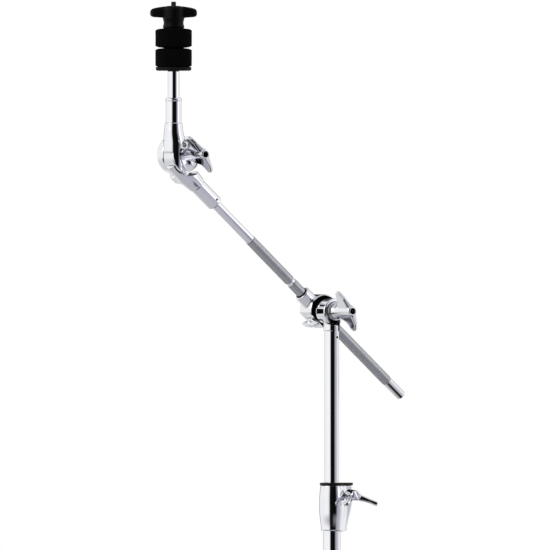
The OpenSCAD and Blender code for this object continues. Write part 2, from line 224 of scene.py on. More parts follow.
def lathe(name, profile, matrix, segs=96, closed=False, angle=32):
    """Turns a profile of (r, z, corner radius) in mm round local Z. A closed profile makes a ring."""
    pts = supported(fillet(profile, closed), closed)
    bm = bmesh.new()
    rings = []
    for p in pts:
        if p.x < 1e-6:
            rings.append([bm.verts.new((0, 0, p.y * MM))])
        else:
            rings.append([bm.verts.new((p.x * math.cos(2 * math.pi * k / segs) * MM,
                                        p.x * math.sin(2 * math.pi * k / segs) * MM, p.y * MM)) for k in range(segs)])
    pairs = list(zip(rings, rings[1:])) + ([(rings[-1], rings[0])] if closed else [])
    for a, b in pairs:
        for k in range(segs):
            j = (k + 1) % segs
            if len(a) == 1 and len(b) == 1:
                continue
            if len(a) == 1:
                bm.faces.new((a[0], b[j], b[k]))
            elif len(b) == 1:
                bm.faces.new((a[k], a[j], b[0]))
            else:
                bm.faces.new((a[k], a[j], b[j], b[k]))
    bmesh.ops.recalc_face_normals(bm, faces=bm.faces)
    mesh = bpy.data.meshes.new(name)
    bm.to_mesh(mesh)
    bm.free()
    mesh.transform(matrix)
    smooth_by_angle(mesh, angle)
    return mesh


def evaluated(obj):
    dg = bpy.context.evaluated_depsgraph_get()
    m = bpy.data.meshes.new_from_object(obj.evaluated_get(dg))
    return m


def clean_copy(node):
    bm = bmesh.new()
    bm.from_mesh(NODES[node].data)
    bmesh.ops.remove_doubles(bm, verts=bm.verts, dist=2e-6)
    bmesh.ops.dissolve_limit(bm, angle_limit=math.radians(0.6), verts=bm.verts, edges=bm.edges)
    mesh = bpy.data.meshes.new(node + "_copy")
    bm.to_mesh(mesh)
    bm.free()
    return mesh


def with_modifiers(name, mesh, setup):
    o = bpy.data.objects.new(name + "_tmp", mesh)
    bpy.context.scene.collection.objects.link(o)
    setup(o)
    bpy.context.view_layer.update()
    out = evaluated(o)
    bpy.data.objects.remove(o)
    out.name = name
    return out


def cast_form(node, material=CAST, voxel=0.55, passes=6):
    """The CAD solid with the rounded edges and soft inner corners of a polished casting."""
    bm = bmesh.new()
    bm.from_mesh(NODES[node].data)
    bmesh.ops.remove_doubles(bm, verts=bm.verts, dist=2e-6)
    mesh = bpy.data.meshes.new(node)
    bm.to_mesh(mesh)
    bm.free()

    def setup(o):
        r = o.modifiers.new("r", "REMESH")
        r.mode, r.voxel_size = "VOXEL", voxel * MM
        s = o.modifiers.new("s", "SMOOTH")
        s.factor, s.iterations = 0.5, passes

    out = with_modifiers(node + "_form", mesh, setup)
    for f in out.polygons:
        f.use_smooth = True
    return piece(node + "_form", out, node, material)


def bevelled(node, width, material=None, segments=2, angle=35):
    def setup(o):
        b = o.modifiers.new("b", "BEVEL")
        b.width, b.segments, b.limit_method, b.angle_limit = width * MM, segments, "ANGLE", math.radians(angle)
        b.use_clamp_overlap = True
        w = o.modifiers.new("w", "WEIGHTED_NORMAL")
        w.keep_sharp, w.weight = False, 60

    mesh = clean_copy(node)
    smooth_by_angle(mesh, 180)
    out = with_modifiers(node + "_form", mesh, setup)
    return piece(node + "_form", out, node, material)


def ring_profile(ri, ro, z0, z1, rad=0.4):
    return [(ri, z0, rad * 0.5), (ro, z0, rad), (ro, z1, rad), (ri, z1, rad * 0.5)]


# ---------------------------------------------------------------- cymbal post
def mm_box(node):
    lo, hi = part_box(node)
    return lo / MM, hi / MM


z_seat0, z_seat1 = mm_box("cymbal_seat")[0].z, mm_box("cymbal_seat")[1].z
felt_r = (mm_box("upper_felt")[1].x - mm_box("upper_felt")[0].x) / 2


def felt(node, seed):
    lo, hi = mm_box(node)
    z0, z1 = lo.z, hi.z
    prof = [(4.2, z0 + 0.1, 0.3), (10.5, z0, 2), (felt_r - 3, z0 + 0.8, 3), (felt_r, z0 + 2.1, 1.2),
            (felt_r, z1 - 2.1, 1.2), (felt_r - 3, z1 - 0.8, 3), (10.5, z1, 2), (4.2, z1 - 0.1, 0.3)]
    dense = []
    for a, b in zip(prof, prof[1:] + prof[:1]):
        n = max(1, int(math.dist(a[:2], b[:2]) / 1.2))
        dense.append(a)
        for k in range(1, n):
            dense.append((a[0] + (b[0] - a[0]) * k / n, a[1] + (b[1] - a[1]) * k / n, 0))
    mesh = lathe(node, dense, M_POST, 160, True)
    rnd = random.Random(seed)
    mid = Vector((POST.x, POST.y, (z0 + z1) / 2 * MM))
    ph = [(rnd.uniform(0, 6.28), rnd.randint(2, 9), rnd.uniform(0.03, 0.10)) for _ in range(7)]
    for v in mesh.vertices:
        d = v.co - mid
        r = math.hypot(d.x, d.y)
        a = math.atan2(d.y, d.x)
        if r < 5 * MM:
            continue
        wob = sum(s * math.sin(a * k + p + d.z * 260) for p, k, s in ph)
        fuzz = rnd.uniform(-0.07, 0.05)
        scale = -abs(wob) * 0.6 + fuzz
        v.co.x += d.x / r * scale * MM
        v.co.y += d.y / r * scale * MM
    return piece(node + "_form", mesh, node, FELT)


felt("upper_felt", 3)
felt("lower_felt", 5)
piece("cymbal_seat_form", lathe("cymbal_seat", [(4.3, z_seat0, 0.2), (17.9, z_seat0, 1.0), (19.45, z_seat0 + 0.9, 0.5),
      (19.45, z_seat1 + 0.7, 0.4), (18.8, z_seat1 + 0.9, 0.4), (16.2, z_seat1 + 0.1, 0.8), (4.3, z_seat1, 0.2)], M_POST, 128, True), "cymbal_seat")


def wing_nut():
    """Moulded T nut: flared foot, waist, round boss and two rounded wings in one soft form."""
    z0, z1 = mm_box("wing_nut")[0].z, mm_box("wing_nut")[1].z
    body = lathe("nut", [(5.05, z0, 0.2), (11.6, z0, 0.7), (11.8, z0 + 2.0, 0.8), (10.9, z0 + 4.6, 2), (10.9, z0 + 7.0, 2),
                         (11.7, z0 + 10.2, 2), (11.8, z0 + 20.4, 2.2), (10.6, z0 + 23.6, 2.5), (5.05, z1 - 0.1, 0.8)], M_WORLD, 96, True)
    bm = bmesh.new()
    bm.from_mesh(body)
    span = 25.7
    for s in (1, -1):
        rings = []
        steps = 22
        for i in range(steps + 1):
            t = i / steps
            x = 6.5 + (span - 6.5) * t
            end = math.sqrt(max(0.0, 1 - max(0.0, (x - (span - 4.5)) / 4.5) ** 2)) * 0.999 + 0.001
            low = z0 + 11.2 + 1.2 * t
            top = z0 + 24.2 - 3.2 * t ** 1.6
            half_h, mid_z = (top - low) / 2 * (0.45 + 0.55 * end), (top + low) / 2
            half_w = (5.6 - 0.9 * t) * (0.25 + 0.75 * end)
            ring = []
            for k in range(32):
                a = 2 * math.pi * k / 32
                c, q = math.cos(a), math.sin(a)
                ring.append(bm.verts.new((s * x * MM, math.copysign(abs(c) ** 0.55, c) * half_w * MM,
                                          (mid_z + math.copysign(abs(q) ** 0.6, q) * half_h) * MM)))
            rings.append(ring)
        for a, b in zip(rings, rings[1:]):
            for k in range(32):
                j = (k + 1) % 32
                bm.faces.new((a[k], a[j], b[j], b[k]))
        bm.faces.new(rings[0])
        bm.faces.new(rings[-1])
    bmesh.ops.recalc_face_normals(bm, faces=bm.faces)
    mesh = bpy.data.meshes.new("nut")
    bm.to_mesh(mesh)
    bm.free()
    mesh.transform(M_POST @ Matrix.Rotation(math.radians(-35), 4, "Z"))

    def setup(o):
        r = o.modifiers.new("r", "REMESH")
        r.mode, r.voxel_size = "VOXEL", 0.5 * MM
        s = o.modifiers.new("s", "SMOOTH")
        s.factor, s.iterations = 0.5, 7

    out = with_modifiers("wing_nut_form", mesh, setup)
    for f in out.polygons:
        f.use_smooth = True
    return piece("wing_nut_form", out, "wing_nut")


wing_nut()
zi0, zi1 = mm_box("wing_nut_insert")[0].z, mm_box("wing_nut_insert")[1].z
piece("wing_nut_insert_form", lathe("insert", ring_profile(3.0, 5.0, zi0, zi1, 0.4), M_POST, 64, True), "wing_nut_insert")


def threaded():
    """Threaded rod with a rolled thread and a chamfered tip."""
    z0, z1 = mm_box("threaded_rod")[0].z, mm_box("threaded_rod")[1].z
    pitch, segs, bm = 1.0, 40, bmesh.new()
    rows = int((z1 - z0) / pitch * 6)
    rings = []
    for i in range(rows + 1):
        z = z0 + (z1 - z0) * i / rows
        ring = []
        for k in range(segs):
            a = 2 * math.pi * k / segs
            tooth = abs(((z / pitch - k / segs) % 1.0) - 0.5) * 2
            r = 2.52 + 0.36 * min(1.0, tooth * 1.25)
            r = min(r, 2.9 - max(0.0, z - (z1 - 0.8)))
            ring.append(bm.verts.new((r * math.cos(a) * MM, r * math.sin(a) * MM, z * MM)))
        rings.append(ring)
    for a, b in zip(rings, rings[1:]):
        for k in range(segs):
            j = (k + 1) % segs
            bm.faces.new((a[k], a[j], b[j], b[k]))
    bm.faces.new(rings[0])
    bm.faces.new(rings[-1])
    bmesh.ops.recalc_face_normals(bm, faces=bm.faces)
    mesh = bpy.data.meshes.new("threaded_rod")
    bm.to_mesh(mesh)
    bm.free()
    mesh.transform(M_POST)
    smooth_by_angle(mesh, 50)
    return piece("threaded_rod_form", mesh, "threaded_rod", OXIDE)


threaded()


# ---------------------------------------------------------------- boom rod with a real knurl
def boom_rod():
    knurl_r, plain_r, tail = 5.9, 5.25, -145.0
    k0, gap0, gap1, k1, end = -119.0, 48.8, 52.2, 121.6, 223.5
    rows = [(tail, 0.0, 0), (tail, 4.5, 0), (tail + 0.5, 5.0, 0), (tail + 1.2, plain_r, 0), (k0 - 1.2, plain_r, 0), (k0 - 0.6, 5.45, 0)]

    def knurled(a, b):
        n = int((b - a) / 0.42)
        for i in range(n + 1):
            z = a + (b - a) * i / n
            edge = min(1.0, (z - a) / 0.8, (b - z) / 0.8)
            rows.append((z, 5.55 + (knurl_r - 5.55) * max(0.0, edge), 1))

    knurled(k0, gap0)
    rows.extend([(gap0 + 0.3, 5.0, 0), (gap1 - 0.3, 5.0, 0)])
    knurled(gap1, k1)
    rows.extend([(k1 + 0.4, 5.4, 0), (k1 + 1.2, plain_r, 0), (end, plain_r, 0), (end, 0.0, 0)])
    segs, teeth, lead = 144, 36, 1.18
    bm = bmesh.new()
    rings = []
    for z, r, kn in rows:
        if r == 0:
            rings.append([bm.verts.new((0, 0, z * MM))])
            continue
        ring = []
        for k in range(segs):
            u = k / segs * teeth
            rr = r
            if kn:
                d1 = abs(((u + z / lead) % 1.0) - 0.5) * 2
                d2 = abs(((u - z / lead) % 1.0) - 0.5) * 2
                rr = r - 0.34 * (1 - min(d1, d2))
            ang = 2 * math.pi * k / segs
            ring.append(bm.verts.new((rr * math.cos(ang) * MM, rr * math.sin(ang) * MM, z * MM)))
        rings.append(ring)
    for a, b in zip(rings, rings[1:]):
        for k in range(segs):
            j = (k + 1) % segs
            if len(a) == 1:
                f = bm.faces.new((a[0], b[j], b[k]))
            elif len(b) == 1:
                f = bm.faces.new((a[k], a[j], b[0]))
            else:
                f = bm.faces.new((a[k], a[j], b[j], b[k]))
    bmesh.ops.recalc_face_normals(bm, faces=bm.faces)
    mesh = bpy.data.meshes.new("boom_rod")
    bm.to_mesh(mesh)
    bm.free()
    o = None
    mesh.transform(M_BOOM)
    smooth_by_angle(mesh, 40)
    o = piece("boom_rod_form", mesh, "boom_rod", KNURL)
    mesh.materials.append(CHROME)
    inv = M_BOOM.inverted()
    for f in mesh.polygons:
        z = (inv @ f.center).z / MM
        if z > k1 + 0.2 or z < k0 - 0.4 or gap0 + 0.1 < z < gap1 - 0.1:
            f.material_index = 1
    return o


boom_rod()

# ---------------------------------------------------------------- turned parts
tz0, tz1 = mm_box("tilter_post")[0].z, mm_box("tilter_post")[1].z
piece("tilter_post_form", lathe("tilter_post", [(2.92, tz0, 0.1), (6.35, tz0, 0.2), (6.35, tz1, 0.9), (2.92, tz1, 0.1)], M_POST, 96, True), "tilter_post")


def ferrule(node, z, length, matrix, bore, rolled_end):
    ends = [(bore, z, 0.2), (8.5, z, 0.5), (8.5, z + length - 3.6, 0.3), (8.95, z + length - 3.0, 0.5), (8.95, z + length - 1.4, 0.6),
            (7.9, z + length, 0.5), (bore, z + length, 0.2)]
    if not rolled_end:
        ends = [(bore, z, 0.2), (7.8, z, 0.9), (8.5, z + 1.4, 0.6), (8.5, z + length, 0.3), (bore, z + length, 0.2)]
    bevel_mesh = lathe(node, ends, matrix, 112, True)
    o = piece(node + "_form", bevel_mesh, node)
    return o


fz0 = mm_box("post_ferrule")[0].z
ferrule("post_ferrule", fz0, 27.6, M_POST, 6.38, True)
ferrule("rod_ferrule", 182.8, 31.15, M_BOOM, 5.28, False)


def punch_mark(name, matrix, body):
    """Crimp dimple on the ferrule, painted black as painted shade in its pit."""
    mesh = lathe(name, [(0, 0.14, 0), (1.2, 0.12, 0.2), (1.55, -0.3, 0)], matrix, 40)
    o = bpy.data.objects.new(name, mesh)
    bpy.context.scene.collection.objects.link(o)
    mesh.materials.append(RECESS_SHADE)
    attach(o, body)
    return o


side = UP.cross(Vector((-0.574, -0.819, 0))).normalized()
face = side.cross(UP).normalized()
if face.y > 0:
    face = -face
if side.z < 0:
    side = -side
mark_dir = (face * math.cos(math.radians(33)) + side * math.sin(math.radians(33))).normalized()
punch_mark("rod_ferrule_mark", axes_matrix(UP, mark_dir.cross(UP), mark_dir, CLAMP + UP * 188.4 * MM + mark_dir * 8.5 * MM), BODY_OF["rod_ferrule"])


def tube(node, outer, wall=1.4):
    z0, z1 = mm_box(node)[0].z, mm_box(node)[1].z
    return piece(node + "_form", lathe(node, ring_profile(outer - wall, outer, z0, z1, 0.5), M_WORLD, 128, True), node)


tube("upper_tube", 7.95)
tube("mid_tube", 9.525)
tube("base_tube", 11.1)

for node, width in (("cymbal_sleeve", 0.3), ("tilter_back_nut", 0.5), ("tilter_washer", 0.3),
                    ("tilter_friction_disc", 0.25), ("clamp_friction_disc", 0.25), ("rod_sleeve", 0.3), ("clamp_front_ring", 0.5),
                    ("clamp_back_nut", 0.5), ("clamp_washer", 0.3), ("lock_washer", 0.2),
                    ("upper_tube_plug", 0.4), ("mid_tube_plug", 0.4), ("mid_clamp_collar", 0.5), ("mid_clamp_washer", 0.25),
                    ("base_clamp_collar", 0.5), ("base_clamp_washer", 0.25), ("base_tube_cap", 0.8), ("leg_hub_pins", 0.35),
                    ("hub_washer", 0.25), ("brace_hub_pins", 0.35), ("leg_1", 0.35), ("leg_2", 0.35), ("leg_3", 0.35),
                    ("brace_1", 0.3), ("brace_2", 0.3), ("brace_3", 0.3)):
    bevelled(node, width)

for node, voxel, passes in (("leg_hub", 0.7, 5), ("brace_hub", 0.7, 5)):
    cast_form(node, CAST, voxel, passes)


# ---------------------------------------------------------------- polished castings as smooth solids
def blend(a, b, k):
    """Union of two distance fields with a fillet of about k mm."""
    h = np.maximum(k - np.abs(a - b), 0) / k
    return np.minimum(a, b) - h * h * k * 0.25


def carve(a, b, k=0.8):
    """Field a with b cut away, the rim rounded by about k mm."""
    return -blend(-a, b, k)


def drum(r, z, radius, z0, z1, edge=1.0):
    """Round disc or bar: r is the distance from its axis, z runs along it."""
    qr, qz = r - radius + edge, np.maximum(z0 - z, z - z1) + edge
    return np.minimum(np.maximum(qr, qz), 0) + np.hypot(np.maximum(qr, 0), np.maximum(qz, 0)) - edge


def outline(x, y, pts):
    """Distance to a closed flat outline, negative inside."""
    d = np.full(np.shape(x), 1e9)
    s = np.ones(np.shape(x))
    for (ax, ay), (bx, by) in zip(pts, pts[1:] + pts[:1]):
        ex, ey, wx, wy = bx - ax, by - ay, x - ax, y - ay
        k = np.clip((wx * ex + wy * ey) / (ex * ex + ey * ey), 0, 1)
        d = np.minimum(d, (wx - ex * k) ** 2 + (wy - ey * k) ** 2)
        c1, c2, c3 = y >= ay, y < by, ex * wy > ey * wx
        s = np.where((c1 & c2 & c3) | (~c1 & ~c2 & ~c3), -s, s)
    return s * np.sqrt(d)


def slab(d2, off, half, edge):
    """Plate: flat outline distance d2, half thickness, rounded edges."""
    qa, qb = d2 + edge, np.abs(off) - half + edge
    return np.minimum(np.maximum(qa, qb), 0) + np.hypot(np.maximum(qa, 0), np.maximum(qb, 0)) - edge


def step(a, b, x):
    k = np.clip((x - a) / (b - a), 0, 1)
    return k * k * (3 - 2 * k)


def sculpt(node, field, lo, hi, matrix, grid=0.55, material=CAST, dark=None, others=()):
    """Skins the solid field < 0 (mm, local frame) and shades it with the field's own normals."""
    axes = [np.arange(lo[i] - 2 * grid, hi[i] + 2.5 * grid, grid) for i in range(3)]
    v = field(*np.meshgrid(*axes, indexing="ij"))
    shape = tuple(n - 1 for n in v.shape)
    total, count = np.zeros(shape + (3,)), np.zeros(shape)
    corners = [(i, j, k) for i in (0, 1) for j in (0, 1) for k in (0, 1)]

    def corner(c):
        return v[c[0]:c[0] + shape[0], c[1]:c[1] + shape[1], c[2]:c[2] + shape[2]]

    for a in corners:
        for axis in range(3):
            if a[axis]:
                continue
            b = tuple(1 if i == axis else a[i] for i in range(3))
            va, vb = corner(a), corner(b)
            m = (va < 0) != (vb < 0)
            w = va[m] / (va[m] - vb[m])
            for i in range(3):
                total[..., i][m] += a[i] + (w if i == axis else 0)
            count[m] += 1
    active = count > 0
    ids = np.full(shape, -1)
    ids[active] = np.arange(active.sum())
    pts = (np.argwhere(active) + total[active] / count[active][:, None]) * grid + np.array([a[0] for a in axes])

    def slope(q):
        e, out = 0.02, []
        for i in range(3):
            d = np.zeros(3)
            d[i] = e
            out.append((field(*(q + d).T) - field(*(q - d).T)) / (2 * e))
        return np.stack(out, -1)

    for _ in range(4):
        g = slope(pts)
        move = -field(*pts.T)[:, None] * g / np.maximum((g * g).sum(-1, keepdims=True), 0.1)
        size = np.linalg.norm(move, axis=-1, keepdims=True)
        pts = pts + move * np.minimum(1, 0.5 * grid / np.maximum(size, 1e-9))
    normals = slope(pts)
    normals /= np.maximum(np.linalg.norm(normals, axis=-1, keepdims=True), 1e-9)

    inside, quads = v < 0, []
    for axis in range(3):
        u, w = (axis + 1) % 3, (axis + 2) % 3
        s0 = inside.take(range(v.shape[axis] - 1), axis)
        s1 = inside.take(range(1, v.shape[axis]), axis)
        at = np.argwhere(s0 != s1)
        at = at[(at[:, u] > 0) & (at[:, w] > 0) & (at[:, u] < shape[u]) & (at[:, w] < shape[w])]
        out = s0[tuple(at.T)]
        ring = []
        for du, dw in ((-1, -1), (0, -1), (0, 0), (-1, 0)):
            c = at.copy()
            c[:, u] += du
            c[:, w] += dw
            ring.append(ids[tuple(c.T)])
        q = np.stack(ring, -1)
        q[~out] = q[~out][:, ::-1]
        quads.append(q)
    quads = np.concatenate(quads)
    mesh = bpy.data.meshes.new(node + "_form")
    mesh.from_pydata((pts * MM).tolist(), [], quads.tolist())
    mesh.transform(matrix)
    turn = np.array(matrix.to_3x3())
    mesh.polygons.foreach_set("use_smooth", [True] * len(mesh.polygons))
    mesh.normals_split_custom_set_from_vertices((normals @ turn.T).tolist())
    o = piece(node + "_form", mesh, node, material, others)
    # Faces picked by dark get the near-black painted shade of holes, slots and recesses
    if dark is not None:
        mesh.materials.append(RECESS_SHADE)
        mesh.polygons.foreach_set("material_index", dark(*pts[quads].mean(1).T).astype(int))
    return o


ARM_BACK = 15.0                                    # rod axes to the tilter pivot
M_TILT = Matrix.Translation(TILT)
M_TILT_BOOM = axes_matrix(BOOM_X, Vector((0, 1, 0)), UP, TILT)


def tilter_upper(x, y, z):
    """Neck on the post axis running down into the recessed front drum."""
    r = np.hypot(x, z)
    nr = np.hypot(x + ARM_BACK, y)
    swell = 1.5 * step(26, 12, z)
    neck = drum(np.hypot(x + ARM_BACK - swell, y), z, 10.7 + swell - 1.1 * step(21.5, 34.4, z), -24, 34.5, 0.7)
    neck = -blend(-neck, -(r - 25.9 + 3.4 * step(8, 0, z) - 60 * step(2, 12, z)), 1.2)
    body = blend(neck, drum(r, y, 19.6, -2.2, 10.4, 1.0), 3.2)
    body = carve(body, np.hypot(np.hypot((x - 3.0) * 1.3, z + 1.0), y + 19.4) - 24.6, 0.9)
    body = np.maximum(body, y - 10.4)
    body = carve(body, r - 4.3, 0.3)
    return carve(body, np.maximum(nr - 6.36, 24.4 - z), 0.3)


def tilter_lower(x, y, z):
    """Socket on the boom axis, fin round the front drum, and the rear drum."""
    r = np.hypot(x, z)
    bx = x + ARM_BACK
    neck = drum(np.hypot(bx, y), z, 9.6 + 1.1 * step(-35, -21, z), -34.5, 7, 1.4)
    web = drum(np.hypot(bx, np.maximum(y - 12.8, 0)), z, 10.2, -21.5, -9.5, 3.0)
    neck = blend(neck, np.maximum(web, -y), 3.0)
    rear = drum(r, y, 21, 11.8, 24.4, 2.2)
    body = blend(neck, rear, 2.5)
    body = carve(body, np.maximum(r - 23.2, y - 11.8), 0.5)
    body = carve(body, drum(r, y, 6.9, 19, 40, 0.2), 0.5)
    body = carve(body, r - 4.3, 0.3)
    return carve(body, np.maximum(np.hypot(bx, y) - 5.4, z + 24.6), 0.4)


sculpt("tilter_upper_casting", tilter_upper, (-26, -12.5, -24), (20, 11, 35), M_TILT, 0.5)
sculpt("tilter_lower_casting", tilter_lower, (-26.5, -11, -35), (21.5, 25, 21.5), M_TILT_BOOM, 0.55)


def key_nut(x, y, z):
    """Square nut with a round hole, set in the recess."""
    body = slab(outline(x, z, [(-4.7, -4.7), (4.7, -4.7), (4.7, 4.7), (-4.7, 4.7)]), y - 2.6, 2.7, 0.5)
    return carve(body, np.maximum(np.hypot(x, z) - 2.5, y - 3.4), 0.4)


# The nut's bore is painted black as painted shade
sculpt("tilter_key_nut", key_nut, (-5, -0.5, -5), (5, 5.6, 5), M_TILT @ Matrix.Translation((-0.6 * MM, 0, 10.4 * MM)) @ Matrix.Rotation(math.radians(12), 4, "Y"),
       0.3, ZINC, lambda x, y, z: (np.hypot(x, z) < 2.45) & (y > 0.2))


def clamp_base(x, y, z):
    """Disc on top of the column with its tube socket."""
    r, q = np.hypot(x, z), np.hypot(x, y)
    body = blend(drum(r, y, 14, -6, 12, 1.6), drum(q, z, 9.1, -22, -6, 1.2), 3.5)
    body = carve(body, drum(r, y, 10.5, -30, 0, 1.0), 0.8)
    slot = np.maximum(np.maximum(np.abs(z) - 2.7, 12.0 + x), np.maximum(-3.5 - y, y - 9.5))
    body = carve(body, slot, 0.4)
    body = carve(body, r - 4.3, 0.3)
    return carve(body, np.maximum(q - 7.97, z + 15.5), 0.3)


def rod_holder(x, y, z):
    """Rear drum with the sleeve for the boom and the boss of its lock screw."""
    r, q = np.hypot(x, z), np.hypot(x, y)
    body = blend(drum(r, y, 18.6, -10.7, 12, 2.0), drum(q, z, 9.6 - step(-15, 31, z), -15, 31, 1.2), 2.5)
    body = blend(body, drum(np.hypot(y, z), -x, 6.6, 0, 30, 0.4), 3.0)
    body = -blend(-body, -(-13.2 - x), 0.6)
    body = carve(body, q - 6.9, 0.4)
    body = carve(body, drum(r, y, 6.9, 8, 30, 0.3), 0.5)
    body = carve(body, np.maximum(r - 4.3, -y - 0), 0.3)
    return carve(body, np.maximum(r - 4.3, y + 5), 0.3)


# The slot in the clamp base is painted black as painted shade
sculpt("boom_clamp_base", clamp_base, (-14, -6.5, -22.5), (14, 12.5, 14), Matrix.Translation((0, 0, CLAMP.z)), 0.5,
       CAST, lambda x, y, z: (x < -11.2) & (np.abs(z) < 2.6) & (y > -3.4) & (y < 9.4))
# A ring on the rod holder's front face is painted black as painted shade of its recess
sculpt("rod_holder", rod_holder, (-19, -11, -19), (19, 12.5, 31.5), M_BOOM, 0.6, CAST,
       lambda x, y, z: (y < -7.6) & (np.hypot(x, z) > 11) & (np.hypot(x, z) < 17.6))


def wing(hub, base, reach, lift, angles, shank, depth, hole, width=2.2):
    """Wing bolt with two swept blades; +Z is outward, z = 0 the seat."""
    def field(x, y, z):
        r = np.hypot(x, y)
        hub_r = 5.1 + (base - 5.1) * np.exp(-np.maximum(z, 0) / 7.0)
        body = drum(r, z, hub_r, 0, hub, 1.0)
        for a in angles:
            c, s = math.cos(math.radians(a)), math.sin(math.radians(a))
            out, off = x * c + y * s, -x * s + y * c
            flat = outline(out, z, [(1.5, 2.6), (5.5, 3.6), (reach * 0.55, lift - 2.2), (reach - 4, lift - 0.4), (reach - 1.2, lift + 0.6),
                                    (reach, lift + 3.0), (reach - 0.6, lift + 5.8), (reach - 3.0, lift + 7.6),
                                    (reach * 0.66, max(lift + 4.4, hub - 4.5)), (6.0, hub - 1.6), (1.5, hub - 0.6)])
            half = width + 1.5 * step(reach * 0.75, 2, out)
            body = blend(body, slab(flat, off, half, 1.5), 2.4)
        body = np.minimum(body, np.maximum(r - shank, np.maximum(-depth - z, z - 1)))
        return carve(body, np.maximum(r - 3.4, hub - 5 - z), 0.7) if hole else body
    return field


for node, x, y, z, args, dark in (
        ("tilter_wing_bolt", TILT.x / MM, 22, TILT.z / MM, (38, 7.2, 24.5, 23, (128.5, 308.5), 3.98, 24, True), True),
        ("clamp_wing_bolt", 0, -10.1, CLAMP.z / MM, (30, 9.0, 24.5, 14, (119, 299), 3.98, 26.7, True), True),
        ("mid_clamp_wing_bolt", 17, -9.6, 593.5, (14, 6.8, 24.5, 18, (-26, 206), 2.98, 22, False), False),
        ("base_clamp_wing_bolt", 20, -9.6, 493.5, (14, 6.8, 24.5, 18, (-26, 206), 2.98, 22, False), False)):
    hub, reach, lift = args[0], args[2], args[3]
    top = max(hub, lift + 8)
    # For the bolts flagged dark, the bore in the hub top is painted black as painted shade
    sculpt(node, wing(*args), (-25, -25, -args[6]), (25, 25, top), m_front(x * MM, y * MM, z * MM), 0.5, CAST,
           (lambda px, py, pz, h=hub: (np.hypot(px, py) < 3.3) & (pz > h - 6)) if dark else None)


def lock_screw(x, y, z):
    """Small screw with a leaf-shaped T head."""
    r = np.hypot(x, y)
    body = drum(r, z, 5.0 - 0.6 * step(15, 20, z), 14.3, 20.2, 0.9)
    leaf = outline(x, z, [(-14.6, 16.6), (-8, 15.0), (0, 14.7), (8, 15.0), (14.6, 16.6), (14.8, 18.6), (9, 21.2), (0, 21.4), (-9, 21.2), (-14.8, 18.6)])
    body = blend(body, slab(leaf, y, 1.9 + 0.9 * step(12, 2, np.abs(x)), 1.2), 1.6)
    return np.minimum(body, np.maximum(r - 2.65, np.maximum(6.05 - z, z - 15)))


sculpt("rod_lock_screw", lock_screw, (-15, -5.2, 6), (15, 5.2, 21.6),
       M_BOOM @ axes_matrix(Vector((0, 1, 0)), Vector((0, 0, -1)), Vector((-1, 0, 0)), Vector((0, 0, 0))), 0.35)


def height_clamp(tube_r, body_r, ear):
    """Round split clamp with the ear for its bolt, hanging below z = 0."""
    def field(x, y, z):
        r = np.hypot(x, y)
        belly = 1.1 * step(-3, -18, z) - 2.0 * step(-30, -52.8, z)
        body = drum(r, z, body_r + belly, -52.8, -2.8, 1.2)
        edge = ear - 7.5 * step(-20, -52.8, z)
        half = 7.4 - 2.6 * np.clip(x / ear, 0, 1)
        lug_r = np.maximum(x - edge, np.abs(y) - half)
        lug = -blend(-np.maximum(lug_r, -x), -(np.maximum(-52.8 - z, z + 2.8)), 1.5)
        round_end = -blend(-(x - edge), -(np.abs(y) - half), 3.0)
        lug = -blend(-np.maximum(round_end, -x), -np.maximum(-52.8 - z, z + 2.8), 1.2)
        body = blend(body, lug, 5.0)
        body = np.maximum(body, z + 2.8)
        body = carve(body, r - tube_r - 0.02, 0.3)
        body = carve(body, np.maximum(np.abs(y) - 0.9, 4 - x), 0.5)
        return carve(body, np.hypot(x - ear + 8, z + 13.5) - 3.2, 0.3)
    return field


for node, top, tube_r, body_r, ear in (("mid_clamp", 607, 9.525, 12.6, 25), ("base_clamp", 507, 11.1, 14.2, 28)):
    sculpt(node, height_clamp(tube_r, body_r, ear), (-body_r - 1.2, -body_r - 1.2, -53), (ear, body_r + 1.2, -2.6), Matrix.Translation((0, 0, top * MM)), 0.6)
cast_form("hub_wing_bolt", CAST, 0.4, 6)

fz = CLAMP.z / MM - 28.6
turned = Matrix.Rotation(math.radians(14), 4, "Z") @ m_front(0, 0, fz * MM)
# The rivet is painted with the near-black painted shade of its hole
piece("tube_rivet_form", lathe("tube_rivet", [(0, 5.7, 0), (1.45, 5.7, 0.1), (1.5, 7.9, 0.1), (1.2, 8.05, 0.2), (0, 8.1, 0)], turned, 40), "tube_rivet", RECESS_SHADE)
for node in ("foot_1", "foot_2", "foot_3"):
    cast_form(node, RUBBER, 0.8, 6)

# ---------------------------------------------------------------- stage
VIEW_AZ = math.radians(-35)
TOWARD = Vector((math.sin(VIEW_AZ), -math.cos(VIEW_AZ), 0))   # from the object to the camera
RIGHT = Vector((math.cos(VIEW_AZ), math.sin(VIEW_AZ), 0))


